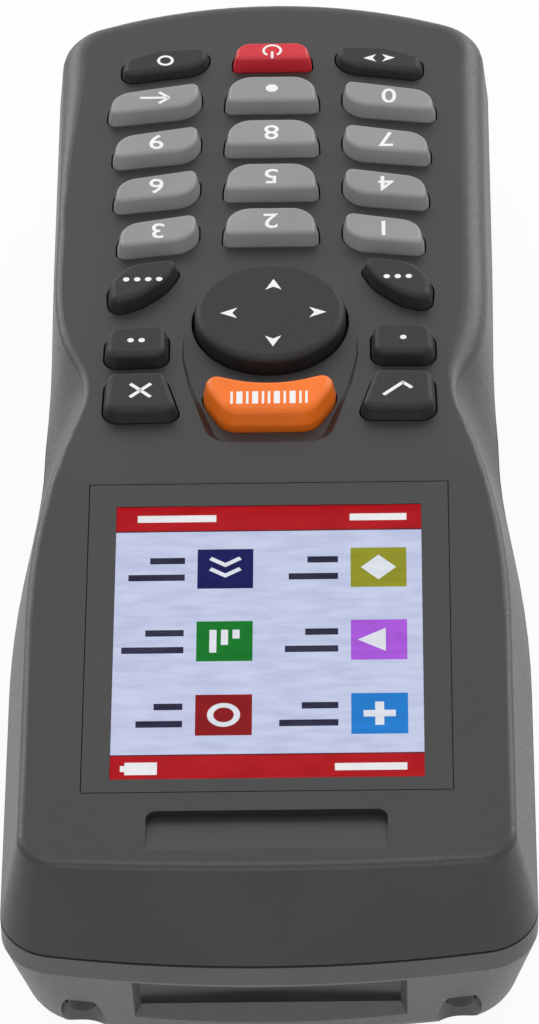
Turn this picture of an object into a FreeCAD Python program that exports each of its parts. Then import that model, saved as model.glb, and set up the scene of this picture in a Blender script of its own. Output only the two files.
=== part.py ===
import FreeCAD, Part
import math
import os

from FreeCAD import Vector

# A portable barcode data terminal, lying on its back with the keys up.
# Millimetres. +Z is up out of the face, -Y points to the scan window and +Y to the tail.
# Everything is built about the screen centre, then moved so that the origin
# is the centre of the footprint, on the surface that the terminal lies on.

# Housing, outside
THICKNESS = 31.0
PARTING_Z = 18.0
STRIP_HEIGHT = 2.7
HEAD_FRONT = -38.7
TAIL_END = 117.4
HEAD_HALF = 29.8
HANDLE_HALF = 26.5
FACE_SETBACK = 3.3
FACE_TAIL_SETBACK = 1.0
FACE_HEAD_HALF = 27.3
FACE_HANDLE_HALF = 25.2
FACE_WAIST_HALF = 21.3
FLARE_START = 3.0
WAIST_Y = 42.0
FLARE_END = 74.0
SIDE_FLARE = 47.0
BEFORE_WAIST_REACH = 0.14
BEFORE_WAIST_BULGE = 0.18
AFTER_WAIST_REACH = 0.2
AFTER_WAIST_BULGE = 0.49
BASE_SETBACK = 5.9
BASE_TAIL_SETBACK = 2.8
BASE_TAPER = 2.7
FRONT_ARC = 152.0
FACE_FRONT_ARC = 365.0
TAIL_ARC = 54.5
FRONT_CORNER = 6.5
FACE_FRONT_CORNER = 4.2
BASE_FRONT_CORNER = 7.5
TAIL_CORNER = 7.0
HEAD_CREASE = 0.9
HANDLE_CREASE = 3.0
BASE_EDGE = 4.5

# Back of the housing: a flat head base, a finger rest and a flat palm
FINGER_REST = 6.0
HEAD_BASE_END = 22.0
REST_START = 42.0
REST_END = 48.0
PALM_START = 72.0

# Narrow groove along the parting line
PARTING_GROOVE = 0.3
PARTING_GROOVE_DEEP = 0.5

# Housing, inside
WALL = 2.0
SCREW_SKIN = 1.0
THREAD_GAP = 0.05
TIP_GAP = 0.6

# Half size of the solids that cut or clear everything on one side of a surface
BEYOND = 60.0

# Keypad plane
BEND_Y = 28.0
BEND_RADIUS = 100.0
KEYPAD_TILT = 3.2

# Keys
ROW_PITCH = 8.57
CENTRE_KEY_START = 39.8
CENTRE_KEY_HEAD_HALF = 5.75
CENTRE_KEY_TAIL_HALF = 5.5
CENTRE_KEY_LENGTH = 5.6
SIDE_KEY_START = 37.6
SIDE_KEY_INNER = 8.6
SIDE_KEY_LENGTH = 6.9
SIDE_KEY_HEAD_SLANT = 8.0
SIDE_KEY_TAIL_SLANT = 12.0
KEY_TRAVEL = 0.8
KEY_GAP = 0.2
KEY_HEIGHT = 1.9
LOW_KEY_HEIGHT = 1.3
SCAN_KEY_HEIGHT = 2.3
KEY_DRAFT = 0.45
KEY_EDGE = 0.5
BLACK_KEY_EDGE = 0.8
SCAN_KEY_EDGE = 1.0
FLANGE_LIP = 0.6
FLANGE_GAP = 0.05
FLANGE_THICK = 0.6
STEM_RADIUS = 1.4
STEM_GAP = 0.3
SIDE_KEY_OUTER = [18.3, 18.9, 19.2, 19.9]

# Four-way pad
DPAD_S = 25.5
DPAD_RADIUS = 8.9
DPAD_HEIGHT = 2.0
DPAD_EDGE = 0.9
DPAD_GAP = 0.4
DPAD_SWAY = 0.8
DPAD_TILT = 3.0
DPAD_NUB_CIRCLE = 5.2
PIVOT_RADIUS = 1.2
PIVOT_GAP = 0.12

# Level recess round the scan key, which the keypad's slope meets beside the pad
RECESS_END = 23.0
RECESS_DRAFT = 1.1
RECESS_HIGH = 3.0

# Mat, domes and keypad board
MAT_THICK = 0.7
MAT_HALF = 20.3
MAT_RIM = 0.8
MAT_START = 3.6
MAT_END = 79.4
MAT_TO_BOARD = 1.15
MAT_CORNER = 2.0
TRAVEL_SPARE = 0.1
DOME_GAP = 0.05
DOME_RADIUS = 2.2
DOME_FLAT = 1.4
DOME_HEIGHT = 0.25
DOME_SHEET = 0.15
KEYPAD_BOARD_THICK = 1.0
KEYPAD_POST_X = 18.4
KEYPAD_POST_S = [9.0, 66.0]
KEYPAD_POST_RADIUS = 1.5

# Screen
LENS_HALF = 20.5
LENS_HEAD = 24.1
LENS_TAIL = 24.7
LENS_THICK = 0.75
LENS_GAP = 0.12
WINDOW_FIT = 0.05
SCREEN_HALF_X = 17.42
SCREEN_HALF_Y = 21.78
SCREEN_MARGIN = 0.37
SCREEN_DEPTH = 0.8
PANEL_BORDER = 1.5
PANEL_THICK = 1.8
BACKLIGHT_THICK = 2.2
BACKLIGHT_TAIL = 3.0
FRAME_WALL = 1.1
FRAME_FLOOR = 1.2
CUSHION_HALF_X = 16.0
CUSHION_HALF_Y = 20.0

# Badge recess, left bare
BADGE_HALF = 13.3
BADGE_TAIL = -27.0
BADGE_FRONT = -32.8
BADGE_DEPTH = 1.1
BADGE_CORNER = 1.2
BADGE_RUNOUT = 4.0

# Scan window
WINDOW_HALF = 14.5
WINDOW_LOW = 6.0
WINDOW_HIGH = 15.3
WINDOW_BEVEL = 1.1
WINDOW_RECESS = 2.0
WINDOW_THICK = 1.2
WINDOW_LIP = 1.1
WINDOW_SEAT_LIP = 2.4
WINDOW_SEAT_DEPTH = 1.3
FIT = 0.15

# Scan engine
ENGINE_HALF = 11.0
ENGINE_FRONT = -30.4
ENGINE_LENGTH = 17.0
ENGINE_LOW = 4.8
ENGINE_HIGH = 14.8
BRACKET_THICK = 0.8
BRACKET_HALF = 17.0
BRACKET_INSET = 2.0
BRACKET_SCREW_X = 14.5
BRACKET_SCREW_Y = -22.0
BRACKET_BOSS = 2.6
ENGINE_EDGE = 0.8
ENGINE_EYES = [(-4.5, 3.0), (4.0, 2.0), (8.2, 1.3)]
EYE_GAP = 0.4
EYE_LENGTH = 2.2
EYE_PROUD = 0.3

# Main board
BOARD_THICK = 1.2
BOARD_Z = 22.6
BOARD_HALF = 24.0
BOARD_FRONT = -26.0
BOARD_TAIL = 28.5
BOARD_SCREW_X = 22.8
BOARD_SCREW_FRONT = -22.5
BOARD_SCREW_TAIL = 20.0
BOARD_BOSS = 1.9
SMALL_SCREW = 0.9
SMALL_HEAD = 1.7
SMALL_HEAD_HIGH = 1.0
DRIVE_WIDTH = 0.4
DRIVE_DEPTH = 0.5
DRIVE_SHARE = 0.6
SHIELD_HALF = 9.0
SHIELD_START = -4.0
SHIELD_END = 13.0
SHIELD_HIGH = 2.0
BUZZER_X = 15.0
BUZZER_Y = 4.0
BUZZER_RADIUS = 4.5
BUZZER_HIGH = 3.0
BUZZER_WALL = 0.8
BUZZER_MOUTH = 1.0
SOUND_SLOT_PITCH = 3.0
SOUND_SLOT_HALF = 3.0
SOUND_SLOT_WIDTH = 1.0

# Housing screws
SCREW_HEAD_X = 21.0
SCREW_HEAD_Y = -32.6
SCREW_TAIL_X = 20.0
SCREW_TAIL_Y = 106.5
SCREW_RADIUS = 1.1
SCREW_HEAD_RADIUS = 2.0
SCREW_HEAD_HIGH = 1.6
SCREW_SEAT = 8.5
WELL_RADIUS = 2.5
BOSS_RADIUS = 3.8
TOP_BOSS_RADIUS = 2.6

# Battery, its bay and the sliding cover
BATTERY_HALF = 15.0
BATTERY_HEAD = 66.0
BATTERY_LENGTH = 44.5
BATTERY_HIGH = 9.6
BAY_GAP = 0.3
BAY_WALL = 1.2
CONTACT_REACH = 0.9
CONTACT_THICK = 0.25
CONTACT_PITCH = 6.0
CONTACT_WIDTH = 1.6
CONTACT_HEIGHTS = [4.0, 6.5, 9.0]
BATTERY_EDGE = 1.5
COVER_THICK = 2.0
COVER_HALF = 14.2
COVER_TONGUE = 1.2
COVER_TONGUE_LOW = 1.1
COVER_HEAD = 64.0
COVER_GAP = 0.15
THUMB_RIBS = 5
THUMB_RIB_HALF = 7.0
THUMB_RIB_PITCH = 2.0
THUMB_RIB_WIDTH = 0.9
THUMB_RIB_DEPTH = 0.5

# Charging socket
SOCKET_HALF = 3.75
SOCKET_HIGH = 2.6
SOCKET_LENGTH = 5.6
SOCKET_INSET = 1.2
SOCKET_WALL = 0.3
SOCKET_GAP = 0.4
SOCKET_ROOM = 4.6
SOCKET_TONGUE_HALF = 2.35
SOCKET_TONGUE_THICK = 0.5
IO_BOARD_HALF = 9.0
IO_BOARD_LENGTH = 14.0
IO_BOARD_THICK = 1.0
IO_BOARD_INSET = 3.8
IO_POST_X = 6.5
IO_POST_INSET = 14.0
IO_POST_RADIUS = 1.4

# Flat cables
FLEX_THICK = 0.3
FLEX_SEAT = 0.2
FLEX_SLOPE = 0.35
BOARD_FLEX_HALF = 6.0
IO_FLEX_HALF = 4.0
ENGINE_FLEX_HALF = 5.0
LCD_FLEX_HALF = 7.0

# Values that follow from the sizes above
CENTRE_Y = (HEAD_FRONT + TAIL_END) / 2
STRIP_Z = PARTING_Z - STRIP_HEIGHT
TILT = math.radians(KEYPAD_TILT)
FLANGE_TOP = WALL + FLANGE_GAP
FLANGE_LOW = FLANGE_TOP + FLANGE_THICK
MAT_TOP = FLANGE_LOW + KEY_TRAVEL + TRAVEL_SPARE
BOARD_TOP = MAT_TOP + MAT_THICK + MAT_TO_BOARD
BOARD_LOW = BOARD_TOP + KEYPAD_BOARD_THICK
DOME_TOP = BOARD_TOP - DOME_SHEET - DOME_HEIGHT
STEM_LOW = DOME_TOP - KEY_TRAVEL - DOME_GAP
DPAD_FLANGE_TOP = FLANGE_TOP + DPAD_SWAY
DPAD_FLANGE_LOW = DPAD_FLANGE_TOP + FLANGE_THICK
FACE_SLANT = math.atan(BASE_SETBACK / STRIP_Z)
SCREEN_Z = THICKNESS - SCREEN_DEPTH
LENS_Z = THICKNESS - LENS_THICK
PANEL_Z = SCREEN_Z - PANEL_THICK
BACKLIGHT_Z = PANEL_Z - BACKLIGHT_THICK
BAY_LOW = COVER_THICK + COVER_GAP
BAY_HIGH = BAY_LOW + BATTERY_HIGH + 2 * BAY_GAP
BAY_HALF = BATTERY_HALF + BAY_GAP
BAY_HEAD = BATTERY_HEAD - BAY_GAP - CONTACT_REACH
BAY_TAIL = BATTERY_HEAD + BATTERY_LENGTH + BAY_GAP
IO_BOARD_Z = BAY_HIGH + BAY_WALL + FIT + SOCKET_HIGH
IO_BOARD_TAIL = TAIL_END - IO_BOARD_INSET
ENGINE_TAIL = ENGINE_FRONT + ENGINE_LENGTH
ENGINE_MIDDLE = (ENGINE_LOW + ENGINE_HIGH) / 2
CAN_Z = BOARD_Z - SHIELD_HIGH


# Plain shapes

def line(start, end):
    return Part.makeLine(start, end)


def arc(start, middle, end):
    return Part.Arc(start, middle, end).toShape()


def spline(points, first_way, last_way):
    curve = Part.BSplineCurve()
    curve.interpolate(Points=points, InitialTangent=first_way, FinalTangent=last_way)
    return curve.toShape()


def block(x0, x1, y0, y1, z0, z1):
    return Part.makeBox(x1 - x0, y1 - y0, z1 - z0, Vector(x0, y0, z0))


def post(x, y, z0, z1, radius):
    return Part.makeCylinder(radius, z1 - z0, Vector(x, y, z0))


def plate(half_x, y0, y1, corner, z0, z1):
    points = [(-half_x, y0), (half_x, y0), (half_x, y1), (-half_x, y1)]
    return prism(rounded(points, [corner] * 4), z0, z1)


def prism(wire, z0, z1):
    face = Part.Face(wire)
    face.translate(Vector(0, 0, z0))
    return face.extrude(Vector(0, 0, z1 - z0))


def ribbon(path, thick, half_width):
    """A flat cable: a bent strip that follows path, a list of (y, z) corners."""
    strip = None
    for start, end in zip(path, path[1:]):
        along = Vector(0, end[0] - start[0], end[1] - start[1])
        length = along.Length
        corner = Vector(-half_width, -thick / 2, -thick / 2)
        piece = Part.makeBox(2 * half_width, length + thick, thick, corner)
        piece.rotate(Vector(0, 0, 0), Vector(1, 0, 0), math.degrees(math.atan2(along.z, along.y)))
        piece.translate(Vector(0, start[0], start[1]))
        strip = piece if strip is None else strip.fuse(piece)
    return strip.removeSplitter()


def mirrored(shape):
    return shape.mirror(Vector(0, 0, 0), Vector(1, 0, 0))


def both_sides(shape):
    return [shape, mirrored(shape)]


def fuse_all(shapes):
    return shapes[0].multiFuse(shapes[1:]).removeSplitter()


# Outlines with rounded corners, on the XY plane

def rounded(points, radii):
    """A closed wire through points, each corner rounded by its own radius."""
    edges = []
    ends = []
    count = len(points)
    for index in range(count):
        here = Vector(points[index][0], points[index][1], 0)
        before = Vector(points[index - 1][0], points[index - 1][1], 0)
        after = Vector(points[(index + 1) % count][0], points[(index + 1) % count][1], 0)
        back = (before - here).normalize()
        ahead = (after - here).normalize()
        half_angle = back.getAngle(ahead) / 2
        reach = radii[index] / math.tan(half_angle)
        inward = (back + ahead).normalize()
        middle = here + inward * (radii[index] / math.sin(half_angle) - radii[index])
        ends.append((here + back * reach, middle, here + ahead * reach))
    for index in range(count):
        start, middle, end = ends[index]
        edges.append(arc(start, middle, end))
        edges.append(line(end, ends[(index + 1) % count][0]))
    return Part.Wire(edges)


def grown(points, amount):
    """The same outline with every side moved out by amount; points run anticlockwise."""
    count = len(points)
    result = []
    for index in range(count):
        here = Vector(points[index][0], points[index][1], 0)
        before = Vector(points[index - 1][0], points[index - 1][1], 0)
        after = Vector(points[(index + 1) % count][0], points[(index + 1) % count][1], 0)
        first = (here - before).normalize()
        second = (after - here).normalize()
        out_first = Vector(first.y, -first.x, 0)
        out_second = Vector(second.y, -second.x, 0)
        bisector = (out_first + out_second).normalize()
        moved = here + bisector * (amount / bisector.dot(out_first))
        result.append((moved.x, moved.y))
    return result


def grown_wire(points, radii, amount):
    return rounded(grown(points, amount), [max(radius + amount, 0.2) for radius in radii])


# The housing's outline at the face, the parting line and the base

def end_corner(half, apex, end_arc, corner, way):
    """Points of the corner between an end arc and a side; way is -1 at the head, 1 at the tail."""
    arc_y = apex - way * end_arc
    centre_x = half - corner
    centre_y = arc_y + way * math.sqrt((end_arc - corner) ** 2 - centre_x ** 2)
    centre = Vector(centre_x, centre_y, 0)
    scale = end_arc / (end_arc - corner)
    on_arc = Vector(centre_x * scale, arc_y + (centre_y - arc_y) * scale, 0)
    on_side = Vector(half, centre_y, 0)
    middle = centre + ((on_arc - centre) + (on_side - centre)).normalize() * corner
    return on_arc, middle, on_side


def outline(z, front, front_arc, front_corner, tail, tail_corner, side):
    """A closed outline; side holds two runs of (half width, y) that meet at the waist."""
    head_half = side[0][0][0]
    handle_half = side[1][-1][0]
    front_on_arc, front_middle, front_on_side = end_corner(head_half, front, front_arc, front_corner, -1)
    tail_on_arc, tail_middle, tail_on_side = end_corner(handle_half, tail, TAIL_ARC, tail_corner, 1)
    to_waist = [Vector(half, y, 0) for half, y in side[0]]
    from_waist = [Vector(half, y, 0) for half, y in side[1]]
    ahead = Vector(0, 1, 0)
    right = [
        arc(front_on_arc, front_middle, front_on_side),
        line(front_on_side, to_waist[0]),
        spline(to_waist, ahead, ahead),
        spline(from_waist, ahead, ahead),
        line(from_waist[-1], tail_on_side),
        arc(tail_on_side, tail_middle, tail_on_arc),
    ]
    left = [
        arc(flipped(tail_on_arc), flipped(tail_middle), flipped(tail_on_side)),
        line(flipped(tail_on_side), flipped(from_waist[-1])),
        spline([flipped(point) for point in reversed(from_waist)], -ahead, -ahead),
        spline([flipped(point) for point in reversed(to_waist)], -ahead, -ahead),
        line(flipped(to_waist[0]), flipped(front_on_side)),
        arc(flipped(front_on_side), flipped(front_middle), flipped(front_on_arc)),
    ]
    head = arc(flipped(front_on_arc), Vector(0, front, 0), front_on_arc)
    end = arc(tail_on_arc, Vector(0, tail, 0), flipped(tail_on_arc))
    wire = Part.Wire([head] + right + [end] + left)
    wire.translate(Vector(0, 0, z))
    return wire


def flipped(point):
    return Vector(-point.x, point.y, point.z)


def crease_side(inset):
    """The side of the face, which dips in at the waist."""
    waist = FACE_WAIST_HALF - inset
    head = FACE_HEAD_HALF - inset
    handle = FACE_HANDLE_HALF - inset
    before_waist = (waist + BEFORE_WAIST_BULGE * (head - waist),
                    WAIST_Y - BEFORE_WAIST_REACH * (WAIST_Y - FLARE_START))
    after_waist = (waist + AFTER_WAIST_BULGE * (handle - waist),
                   WAIST_Y + AFTER_WAIST_REACH * (FLARE_END - WAIST_Y))
    to_waist = [(head, FLARE_START), before_waist, (waist, WAIST_Y)]
    from_waist = [(waist, WAIST_Y), after_waist, (handle, FLARE_END)]
    return to_waist, from_waist


def plain_side(head, handle):
    """A side that narrows softly from the head to the handle."""
    def half(y):
        share = min((y - FLARE_START) / SIDE_FLARE, 1)
        return head + (handle - head) * (0.5 - 0.5 * math.cos(math.pi * share))

    middle_y = (FLARE_START + WAIST_Y) / 2
    after_y = WAIST_Y + AFTER_WAIST_REACH * (FLARE_END - WAIST_Y)
    to_waist = [(half(y), y) for y in (FLARE_START, middle_y, WAIST_Y)]
    from_waist = [(half(y), y) for y in (WAIST_Y, after_y, FLARE_END)]
    return to_waist, from_waist


def face_outline(inset):
    front = HEAD_FRONT + FACE_SETBACK + inset
    tail = TAIL_END - FACE_TAIL_SETBACK - inset
    return outline(THICKNESS, front, FACE_FRONT_ARC - inset, FACE_FRONT_CORNER - inset,
                   tail, TAIL_CORNER - inset, crease_side(inset))


def parting_outline(z, inset):
    side = plain_side(HEAD_HALF - inset, HANDLE_HALF - inset)
    return outline(z, HEAD_FRONT + inset, FRONT_ARC - inset, FRONT_CORNER - inset,
                   TAIL_END - inset, TAIL_CORNER - inset, side)


def base_outline(inset):
    side = plain_side(HEAD_HALF - BASE_TAPER - inset, HANDLE_HALF - BASE_TAPER - inset)
    return outline(0, HEAD_FRONT + BASE_SETBACK + inset, FRONT_ARC - inset, BASE_FRONT_CORNER - inset,
                   TAIL_END - BASE_TAIL_SETBACK - inset, TAIL_CORNER - inset, side)


# Heights of the face and of the back along the terminal

def face_height(y):
    tangent = BEND_RADIUS * math.tan(TILT / 2)
    if y <= BEND_Y - tangent:
        return THICKNESS
    if y < BEND_Y + tangent * math.cos(TILT):
        run = y - (BEND_Y - tangent)
        return THICKNESS - BEND_RADIUS + math.sqrt(BEND_RADIUS ** 2 - run ** 2)
    return THICKNESS - (y - BEND_Y) * math.tan(TILT)


def rise(y, y0, y1, height):
    """Height at y of a rise from y0 to y1, two equal arcs that meet halfway."""
    run = abs(y1 - y0)
    radius = (run ** 2 + height ** 2) / (4 * height)
    gone = min(max(abs(y - y0), 0), run)
    if gone <= run / 2:
        return radius - math.sqrt(radius ** 2 - gone ** 2)
    return height - radius + math.sqrt(radius ** 2 - (run - gone) ** 2)


def back_height(y):
    if y <= HEAD_BASE_END or y >= PALM_START:
        return 0.0
    if y < REST_START:
        return rise(y, HEAD_BASE_END, REST_START, FINGER_REST)
    if y <= REST_END:
        return FINGER_REST
    return rise(y, PALM_START, REST_END, FINGER_REST)


def profile_arc(height_at, y0, y1, lift):
    points = [Vector(-BEYOND, y, height_at(y) + lift) for y in (y0, (y0 + y1) / 2, y1)]
    return arc(*points)


def above_face(depth):
    """All the space above the face, or above a surface that lies depth under it."""
    tangent = BEND_RADIUS * math.tan(TILT / 2)
    bend_start = BEND_Y - tangent
    bend_end = BEND_Y + tangent * math.cos(TILT)
    start = Vector(-BEYOND, HEAD_FRONT - BEYOND, THICKNESS - depth)
    end_y = TAIL_END + BEYOND
    end = Vector(-BEYOND, end_y, face_height(end_y) - depth)
    top = THICKNESS + BEYOND
    wire = Part.Wire([
        line(start, Vector(-BEYOND, bend_start, THICKNESS - depth)),
        profile_arc(face_height, bend_start, bend_end, -depth),
        line(Vector(-BEYOND, bend_end, face_height(bend_end) - depth), end),
        line(end, Vector(-BEYOND, end_y, top)),
        line(Vector(-BEYOND, end_y, top), Vector(-BEYOND, start.y, top)),
        line(Vector(-BEYOND, start.y, top), start),
    ])
    return Part.Face(wire).extrude(Vector(2 * BEYOND, 0, 0))


def below_back(lift):
    """All the space below the back, or below a surface that lies lift over it."""
    head_middle = (HEAD_BASE_END + REST_START) / 2
    palm_middle = (REST_END + PALM_START) / 2
    start = Vector(-BEYOND, HEAD_FRONT - BEYOND, lift)
    end = Vector(-BEYOND, TAIL_END + BEYOND, lift)
    rest_start = Vector(-BEYOND, REST_START, FINGER_REST + lift)
    rest_end = Vector(-BEYOND, REST_END, FINGER_REST + lift)
    wire = Part.Wire([
        line(start, Vector(-BEYOND, HEAD_BASE_END, lift)),
        profile_arc(back_height, HEAD_BASE_END, head_middle, lift),
        profile_arc(back_height, head_middle, REST_START, lift),
        line(rest_start, rest_end),
        profile_arc(back_height, REST_END, palm_middle, lift),
        profile_arc(back_height, palm_middle, PALM_START, lift),
        line(Vector(-BEYOND, PALM_START, lift), end),
        line(end, Vector(-BEYOND, end.y, -BEYOND)),
        line(Vector(-BEYOND, end.y, -BEYOND), Vector(-BEYOND, start.y, -BEYOND)),
        line(Vector(-BEYOND, start.y, -BEYOND), start),
    ])
    return Part.Face(wire).extrude(Vector(2 * BEYOND, 0, 0))


def rim_edges(shape, height_at):
    """Edges that run round the rim of the surface whose height is height_at(y)."""
    found = []
    for edge in shape.Edges:
        first, last = edge.ParameterRange
        points = [edge.valueAt(first + (last - first) * share) for share in (0, 0.5, 1)]
        on_surface = all(abs(point.z - height_at(point.y)) < 0.05 for point in points)
        across = abs(points[1].x) < 1 and abs(points[0].y - points[1].y) < 0.01
        if on_surface and not across:
            found.append(edge)
    return found


def crease_radius(y):
    share = (y - WAIST_Y) / (FLARE_END - WAIST_Y)
    share = min(max(share, 0), 1)
    return HEAD_CREASE + (HANDLE_CREASE - HEAD_CREASE) * share


def rounded_crease(shape):
    """The face's edge, sharp round the head and soft along the handle."""
    document = FreeCAD.newDocument("crease")
    base = document.addObject("Part::Feature", "base")
    base.Shape = shape
    numbers = []
    for edge in rim_edges(shape, face_height):
        number = [index for index, other in enumerate(shape.Edges) if other.isSame(edge)][0]
        ends = [crease_radius(vertex.Y) for vertex in edge.Vertexes]
        numbers.append((number + 1, ends[0], ends[-1]))
    fillet = document.addObject("Part::Fillet", "fillet")
    fillet.Base = base
    fillet.Edges = numbers
    document.recompute()
    return fillet.Shape.copy()


# Housing solids before any detail

def upper_outside():
    solid = Part.makeLoft([parting_outline(PARTING_Z, 0), face_outline(0)], True, True)
    return rounded_crease(solid.cut(above_face(0)))


def upper_inside():
    solid = Part.makeLoft([parting_outline(PARTING_Z, WALL), face_outline(WALL)], True, True)
    return solid.cut(above_face(WALL))


def lower_body(inset):
    strip = Part.Face(parting_outline(STRIP_Z, inset)).extrude(Vector(0, 0, STRIP_HEIGHT))
    taper = Part.makeLoft([base_outline(inset), parting_outline(STRIP_Z, inset)], True, True)
    return strip.fuse(taper).removeSplitter().cut(below_back(inset))


def lower_outside():
    solid = lower_body(0)
    return solid.makeFillet(BASE_EDGE, rim_edges(solid, back_height))


# Key outlines on the keypad plane: x and the distance S down the plane from its bend

def centre_key(row):
    start = CENTRE_KEY_START + ROW_PITCH * row
    end = start + CENTRE_KEY_LENGTH
    points = [(-CENTRE_KEY_HEAD_HALF, start), (CENTRE_KEY_HEAD_HALF, start),
              (CENTRE_KEY_TAIL_HALF, end), (-CENTRE_KEY_TAIL_HALF, end)]
    return points, [0.8, 0.8, 3.3, 3.3]


def side_key(row):
    start = SIDE_KEY_START + ROW_PITCH * row
    end = start + SIDE_KEY_LENGTH
    outer = SIDE_KEY_OUTER[row]
    width = outer - SIDE_KEY_INNER
    points = [
        (SIDE_KEY_INNER, start + width * math.tan(math.radians(SIDE_KEY_HEAD_SLANT))),
        (outer, start),
        (outer, end - width * math.tan(math.radians(SIDE_KEY_TAIL_SLANT))),
        (SIDE_KEY_INNER, end),
    ]
    return points, [3.2, 0.9, 3.2, 1.2]


def power_key():
    return [(-4.85, 73.9), (4.85, 73.9), (4.7, 77.8), (-4.7, 77.8)], [0.6, 0.6, 2.2, 2.2]


def switch_key():
    return [(7.8, 73.6), (18.4, 71.7), (18.4, 75.5), (14.2, 77.5), (7.8, 77.9)], [3.0, 1.3, 1.5, 2.4, 1.3]


def leaf_key():
    points = [(10.0, 36.3), (12.2, 31.5), (15.2, 28.4), (18.95, 27.0), (19.3, 31.6), (16.9, 35.0)]
    return points, [1.3, 6.0, 6.0, 1.3, 3.0, 4.5]


def oblong_key():
    return [(11.9, 17.5), (19.4, 17.3), (19.3, 23.3), (11.9, 23.5)], [1.6, 1.6, 2.2, 1.4]


def corner_key():
    return [(10.2, 7.6), (19.4, 7.4), (19.2, 14.85), (12.1, 15.1)], [1.4, 1.9, 1.4, 1.3]


def scan_key():
    """A shield whose tail side is hollowed towards the four-way pad."""
    points = [(-5.2, 6.8), (5.2, 6.8), (7.5, 11.0), (8.2, 14.7), (0, 11.9), (-8.2, 14.7), (-7.5, 11.0)]
    return points, [2.6, 2.6, 4.0, 1.6, 14.0, 1.6, 4.0]


def left_of(outline_and_radii):
    points, radii = outline_and_radii
    return [(-x, s) for x, s in reversed(points)], list(reversed(radii))


def key_table():
    """Each key's name, outline, height over the keypad plane and edge radius."""
    keys = []
    for row, names in enumerate((("key_1", "key_2", "key_3"), ("key_4", "key_5", "key_6"),
                                 ("key_7", "key_8", "key_9"), ("key_0", "key_dot", "key_delete"))):
        keys.append((names[0], side_key(row), KEY_HEIGHT, KEY_EDGE))
        keys.append((names[1], centre_key(row), KEY_HEIGHT, KEY_EDGE))
        keys.append((names[2], left_of(side_key(row)), KEY_HEIGHT, KEY_EDGE))
    keys.append(("key_power", power_key(), KEY_HEIGHT, KEY_EDGE))
    keys.append(("key_switch", switch_key(), LOW_KEY_HEIGHT, BLACK_KEY_EDGE))
    keys.append(("key_function", left_of(switch_key()), LOW_KEY_HEIGHT, BLACK_KEY_EDGE))
    keys.append(("key_f3", leaf_key(), KEY_HEIGHT, BLACK_KEY_EDGE))
    keys.append(("key_f4", left_of(leaf_key()), KEY_HEIGHT, BLACK_KEY_EDGE))
    keys.append(("key_f1", oblong_key(), KEY_HEIGHT, BLACK_KEY_EDGE))
    keys.append(("key_f2", left_of(oblong_key()), KEY_HEIGHT, BLACK_KEY_EDGE))
    keys.append(("key_enter", corner_key(), KEY_HEIGHT, BLACK_KEY_EDGE))
    keys.append(("key_escape", left_of(corner_key()), KEY_HEIGHT, BLACK_KEY_EDGE))
    keys.append(("key_scan", scan_key(), SCAN_KEY_HEIGHT, SCAN_KEY_EDGE))
    return keys


def key_middles():
    return [key_centre(shape[0]) for name, shape, height, edge in key_table()]


def key_centre(points):
    """The middle of a key, where its stem presses the dome."""
    x = (min(point[0] for point in points) + max(point[0] for point in points)) / 2
    s = (min(point[1] for point in points) + max(point[1] for point in points)) / 2
    return x, s


def on_keypad(shape):
    """Moves a shape from the keypad plane's own frame to its place on the terminal."""
    placed = shape.copy()
    placed.rotate(Vector(0, 0, 0), Vector(1, 0, 0), -KEYPAD_TILT)
    placed.translate(Vector(0, BEND_Y, THICKNESS))
    return placed


def drafted(shape, amount, height):
    """A solid on an outline, whose sides move out by amount up to its height."""
    points, radii = shape
    top = grown_wire(points, radii, amount)
    top.translate(Vector(0, 0, height))
    return Part.makeLoft([rounded(points, radii), top], True, True)


def key_prism(shape, amount, z0, z1):
    points, radii = shape
    return prism(grown_wire(points, radii, amount), z0, z1)


def key_cap(shape, height, edge_radius):
    foot = key_prism(shape, 0, -FLANGE_TOP, 0)
    crown = drafted(shape, -KEY_DRAFT, height)
    rim = [edge for edge in crown.Edges if edge.BoundBox.ZMin > height - 0.001]
    return foot.fuse(crown.makeFillet(edge_radius, rim))


def make_key(shape, height, edge_radius):
    cap = key_cap(shape, height, edge_radius)
    flange = key_prism(shape, FLANGE_LIP, -FLANGE_LOW, -FLANGE_TOP)
    x, s = key_centre(shape[0])
    stem = post(x, s, -STEM_LOW, -FLANGE_LOW, STEM_RADIUS)
    return on_keypad(fuse_all([cap, flange, stem]))


def make_keys():
    return {name: make_key(shape, height, edge) for name, shape, height, edge in key_table()}


# The four-way pad

def nub_places():
    quarter = [(0, 1), (1, 0), (0, -1), (-1, 0)]
    return [(DPAD_NUB_CIRCLE * x, DPAD_S + DPAD_NUB_CIRCLE * s) for x, s in quarter]


def make_dpad_disc():
    cap = post(0, DPAD_S, -DPAD_FLANGE_TOP, DPAD_HEIGHT, DPAD_RADIUS)
    rim = [edge for edge in cap.Edges if edge.BoundBox.ZMin > DPAD_HEIGHT - 0.001]
    cap = cap.makeFillet(DPAD_EDGE, rim)
    flange = post(0, DPAD_S, -DPAD_FLANGE_LOW, -DPAD_FLANGE_TOP, DPAD_RADIUS + DPAD_GAP + FLANGE_LIP)
    drop = DPAD_NUB_CIRCLE * math.sin(math.radians(DPAD_TILT)) + TRAVEL_SPARE
    nubs = [post(x, s, -DOME_TOP + drop, -DPAD_FLANGE_LOW, PIVOT_RADIUS) for x, s in nub_places()]
    return on_keypad(fuse_all([cap, flange] + nubs))


def make_dpad_pivot():
    column = post(0, DPAD_S, -BOARD_TOP + PIVOT_GAP, -DPAD_FLANGE_LOW - PIVOT_GAP, PIVOT_RADIUS)
    return on_keypad(column)


# Mat, domes and keypad board

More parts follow.
